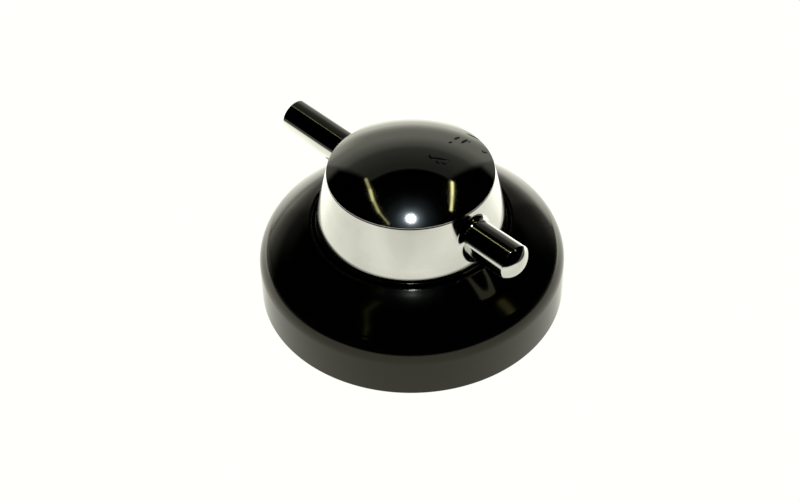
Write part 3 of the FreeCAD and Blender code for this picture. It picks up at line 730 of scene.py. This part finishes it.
def metal(name, colour, deep_colour, roughness, unevenness, wave, patch_scale, marks=()):
    """A metal or its plating, uneven in tone, with dark marks where they are given."""
    material, tree, shader, place = new_material(name)
    shader.inputs["Metallic"].default_value = 1.0
    surface = use_group(tree, MOULDING, Position=place, Roughness=roughness,
                        Unevenness=unevenness, Wave=wave)
    spread = ramp_between(tree, noise(tree, place, patch_scale, 4), 0.4, 0.65)
    shade = blend(tree, "RGBA", spread, (*colour, 1), (*deep_colour, 1))
    rough = surface.outputs["Roughness"]
    if marks:
        mask = None
        for centre, along, size, stretch in marks:
            one = use_group(tree, BLOT, Position=place, Centre=metres(*centre), Along=along,
                            Size=size * 0.001 * TORN_SHARE, Stretch=stretch).outputs["Mask"]
            mask = one if mask is None else math_node(tree, "MAXIMUM", mask, one)
        shade = blend(tree, "RGBA", mask, shade, MARK_COLOUR)
        rough = blend(tree, "FLOAT", mask, rough, MARK_ROUGHNESS)
    tree.links.new(shade, shader.inputs["Base Color"])
    tree.links.new(rough, shader.inputs["Roughness"])
    tree.links.new(surface.outputs["Normal"], shader.inputs["Normal"])
    return material


def give(obj, material):
    obj.data.materials.clear()
    obj.data.materials.append(material)


CHROME, DULLER_CHROME = (0.66, 0.67, 0.635), (0.62, 0.63, 0.595)

give(skirt, black_plastic("black_plastic_bezel", roughness=0.10, unevenness=0.03, wave=0.6, dust=0.004))
give(hub, black_plastic("black_plastic_hub", roughness=0.10, unevenness=0.03, wave=0.5, dust=0.0))
give(cap, metal("bright_chrome_cap", CHROME, (0.64, 0.65, 0.61), roughness=0.05, unevenness=0.02,
                wave=0.4, patch_scale=220, marks=SPECKS))
give(ring, metal("bright_chrome", CHROME, DULLER_CHROME, roughness=0.06, unevenness=0.03,
                 wave=0.5, patch_scale=220))
strip_steel = metal("spring_strip", (0.55, 0.55, 0.52), (0.45, 0.45, 0.43), roughness=0.22,
                    unevenness=0.1, wave=1.0, patch_scale=900)
clip_steel = metal("dark_phosphate", (0.14, 0.135, 0.13), (0.08, 0.078, 0.075), roughness=0.45,
                   unevenness=0.2, wave=1.0, patch_scale=1500)
screw_steel = metal("zinc_plate", (0.62, 0.61, 0.56), (0.5, 0.49, 0.44), roughness=0.3,
                    unevenness=0.12, wave=1.0, patch_scale=1200)
for name, material in (("shaft_spring", strip_steel), ("retaining_ring", clip_steel),
                       ("handle_screw_1", screw_steel), ("handle_screw_2", screw_steel),
                       ("handle_screw_3", screw_steel)):
    for material_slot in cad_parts[name].material_slots:
        material_slot.material = material


# Floor

AZIMUTH, ELEVATION = math.radians(46.76), math.radians(43.58)
towards = Vector((math.sin(AZIMUTH), -math.cos(AZIMUTH), 0))
rightward = Vector((math.cos(AZIMUTH), math.sin(AZIMUTH), 0))

SEEN_WHITE, SEEN_LEVEL = (1.0, 1.0, 0.955, 1), 1.02
PAPER_WHITE = (0.955, 0.945, 0.845, 1)

floor_mesh = bpy.data.meshes.new("floor")
floor_level, half_side = -0.001 * RECESS, 3
corners = [(-half_side, -half_side), (half_side, -half_side), (half_side, half_side), (-half_side, half_side)]
floor_mesh.from_pydata([(*corner, floor_level) for corner in corners], [], [(0, 1, 2, 3)])
floor = bpy.data.objects.new("floor", floor_mesh)
bpy.context.scene.collection.objects.link(floor)
paper = bpy.data.materials.new("white_paper")
paper.use_nodes = True
tree = paper.node_tree
tree.nodes.clear()
# The paper's light as the gloss shows it: strongest just behind the knob, weaker in front of it and
# beside it. The levels run from the front edge of the paper to its far part, in shares of that way.
FRONT_EDGE, FAR_PART, STRONGEST = 0.11, -0.45, 2.1
LEVELS = ((0.0, 0.0), (0.036, 0.85), (0.089, 1.03), (0.143, 0.92), (0.17, 0.98), (0.188, 1.06), (0.214, 1.18),
          (0.268, 2.1), (0.375, 2.0), (0.43, 1.6), (0.554, 1.15), (0.91, 0.9), (1.0, 0.7))
# Its middle part gives way to the dimmer sides between these distances, and widens towards the back
EDGE_START, EDGE_END, WIDENING = 0.075, 0.11, 0.6
MIDDLE_LEVEL, SIDE_PAPER_LEVEL = 2.2, 0.2
spot = tree.nodes.new("ShaderNodeTexCoord").outputs["Object"]
nearer = vector_node(tree, "DOT_PRODUCT", spot, tuple(towards))
aside = math_node(tree, "ABSOLUTE", vector_node(tree, "DOT_PRODUCT", spot, tuple(rightward)))
shading = colour_ramp(tree, ramp_between(tree, nearer, FRONT_EDGE, FAR_PART, smooth=False), LEVELS,
                      (1 / STRONGEST,) * 3)
width = math_node(tree, "MULTIPLY_ADD", math_node(tree, "MINIMUM", nearer, 0.0), WIDENING, aside)
edge = ramp_between(tree, width, EDGE_START, EDGE_END, MIDDLE_LEVEL, SIDE_PAPER_LEVEL)
lit = emission(tree, PAPER_WHITE, math_node(tree, "MULTIPLY", shading, edge))
split_by_ray(tree, emission(tree, SEEN_WHITE, SEEN_LEVEL), lit, "ShaderNodeOutputMaterial")
floor_mesh.materials.append(paper)


# The studio's light

def direction(azimuth, elevation):
    """A direction from the knob: azimuth 0 is towards the camera and 90 to its right."""
    a, e = math.radians(azimuth), math.radians(elevation)
    return (towards * math.cos(a) + rightward * math.sin(a)) * math.cos(e) + Vector((0, 0, math.sin(e)))


world = bpy.data.worlds.new("studio")
bpy.context.scene.world = world
world.use_nodes = True
tree = world.node_tree
tree.nodes.clear()
way = tree.nodes.new("ShaderNodeTexCoord").outputs["Generated"]
back = vector_node(tree, "DOT_PRODUCT", way, tuple(-towards))
right = vector_node(tree, "DOT_PRODUCT", way, tuple(rightward))
up = vector_node(tree, "DOT_PRODUCT", way, (0, 0, 1))
turn = math_node(tree, "ABSOLUTE", math_node(tree, "ARCTAN2", right, back))
height = math_node(tree, "ARCSINE", up)


def within(angle, fade):
    """1 up to the first of two angles, in degrees, and 0 from the second on."""
    return ramp_between(tree, angle, math.radians(fade[0]), math.radians(fade[1]), 1, 0)


# White backdrop behind: brightest at the floor, fading upwards, with a lower wall at each side
# of it; the left one is the brighter near the floor
BACKDROP_REACH = 60
STOPS = ((0.0, 0.66), (0.03, 0.56), (0.07, 0.39), (0.13, 0.23), (0.2, 0.18), (0.33, 0.165), (0.42, 0.112),
         (0.49, 0.078), (0.55, 0.038), (0.68, 0.026), (0.8, 0.018))
BACK_WIDTH, BACK_TOP = (30, 35), (51.5, 53)
SIDE_WIDTH, SIDE_TOP, SIDE_LEVEL = (40, 62), (24, 30), 0.5
LEFT_TOP, LEFT_LEVEL = (10, 18), 1.3
fade = colour_ramp(tree, ramp_between(tree, height, 0.0, math.radians(BACKDROP_REACH), smooth=False), STOPS,
                   (1, 0.99, 0.88))
middle = math_node(tree, "MULTIPLY", within(turn, BACK_WIDTH), within(height, BACK_TOP))
sides = math_node(tree, "MULTIPLY", within(turn, SIDE_WIDTH), within(height, SIDE_TOP))
shape = math_node(tree, "MAXIMUM", middle, math_node(tree, "MULTIPLY", sides, SIDE_LEVEL))
left = math_node(tree, "MULTIPLY", ramp_between(tree, right, -0.2, -0.5), within(height, LEFT_TOP))
left = math_node(tree, "MULTIPLY", left, ramp_between(tree, back, 0.35, 0.7))
backdrop = emission(tree, fade, math_node(tree, "MULTIPLY_ADD", left, LEFT_LEVEL, shape))

# A bluish halo round the lamp overhead
lamp_way = direction(-166, 89.35)
apart = math_node(tree, "ARCCOSINE", vector_node(tree, "DOT_PRODUCT", way, tuple(lamp_way)))
GLOW_REACH, GLOW_LEVEL = 30, 3.0
GLOW = ((0.0, 3.0), (0.05, 2.0), (0.07, 0.6), (0.13, 0.12), (0.21, 0.067), (0.31, 0.021), (0.41, 0.009),
        (0.54, 0.002), (0.7, 0.0))
halo = colour_ramp(tree, ramp_between(tree, apart, 0.0, math.radians(GLOW_REACH), smooth=False), GLOW,
                   (0.72 / GLOW_LEVEL, 0.88 / GLOW_LEVEL, 1.05 / GLOW_LEVEL))
glowing = emission(tree, halo, GLOW_LEVEL)

# Narrow warm strips of light, bent, on either side of the lamp, and a short wide one low on the right.
# Each has its two ends as (azimuth, elevation), its width and its level.
STRIPS = (
    ((-147, 48.6), (-140, 57), 0.016, 0.4),
    ((-140, 57), (-130, 63.4), 0.017, 0.9),
    ((-130, 63.4), (-113, 70.6), 0.014, 0.6),
    ((-113, 70.6), (-83, 77), 0.010, 0.4),
    ((-62, 72), (-58, 63), 0.014, 0.5),
    ((-58, 63), (-43, 53), 0.014, 0.5),
    ((-43, 53), (-36, 35), 0.014, 0.7),
    ((144, 53), (132, 60), 0.016, 1.7),
    ((132, 60), (112, 66), 0.016, 1.3),
    ((82, 44), (78, 33), 0.05, 0.6),
)
total = None
for start, end, width, level in STRIPS:
    a, b = direction(*start), direction(*end)
    one = use_group(tree, STRIP, Way=way, Start=tuple(a), Run=tuple(b - a), Width=width)
    one.inputs["Length Squared"].default_value = (b - a).length_squared
    bright = math_node(tree, "MULTIPLY", one.outputs["Mask"], level)
    total = bright if total is None else math_node(tree, "MAXIMUM", total, bright)
warm = emission(tree, (1.0, 0.96, 0.45, 1), total)

mirrored = backdrop
for light in (glowing, warm):
    both = node(tree, "ShaderNodeAddShader")
    tree.links.new(mirrored.outputs[0], both.inputs[0])
    tree.links.new(light.outputs[0], both.inputs[1])
    mirrored = both
plain = node(tree, "ShaderNodeBackground")
plain.inputs["Color"].default_value = SEEN_WHITE
plain.inputs["Strength"].default_value = SEEN_LEVEL
split_by_ray(tree, plain, mirrored, "ShaderNodeOutputWorld")

lamp_data = bpy.data.lights.new("lamp", "AREA")
lamp_data.shape = "DISK"
lamp_data.size = 0.056
lamp_data.energy = 1.15
lamp_data.color = (0.8, 0.9, 1.0)
lamp = bpy.data.objects.new("lamp", lamp_data)
bpy.context.scene.collection.objects.link(lamp)
# It hangs a metre away from a point on the dome a little in front of its middle
lamp.location = metres(0, 0, 27) + towards * 0.012 + lamp_way
lamp.rotation_euler = (-lamp_way).to_track_quat("-Z", "Y").to_euler()


# Camera

camera_data = bpy.data.cameras.new("camera")
IMAGE_WIDTH, FOCAL_PIXELS, SENSOR = 800, 1620.56, 36
camera_data.sensor_width = SENSOR
camera_data.lens = FOCAL_PIXELS / IMAGE_WIDTH * SENSOR
camera_data.clip_start = 0.01
camera = bpy.data.objects.new("camera", camera_data)
bpy.context.scene.collection.objects.link(camera)
DISTANCE = 0.2665
aim = metres(-1.32, -1.41, 7.32)
view = towards * math.cos(ELEVATION) + Vector((0, 0, math.sin(ELEVATION)))
stand = aim + view * DISTANCE
side = (-view).cross(Vector((0, 0, 1))).normalized()
top = side.cross(-view)
roll = -0.022
x_axis = side * math.cos(roll) + top * math.sin(roll)
y_axis = top * math.cos(roll) - side * math.sin(roll)
camera.matrix_world = Matrix((
    (x_axis.x, y_axis.x, view.x, stand.x), (x_axis.y, y_axis.y, view.y, stand.y),
    (x_axis.z, y_axis.z, view.z, stand.z), (0, 0, 0, 1)))
bpy.context.scene.camera = camera
bpy.context.scene.view_settings.view_transform = "Standard"
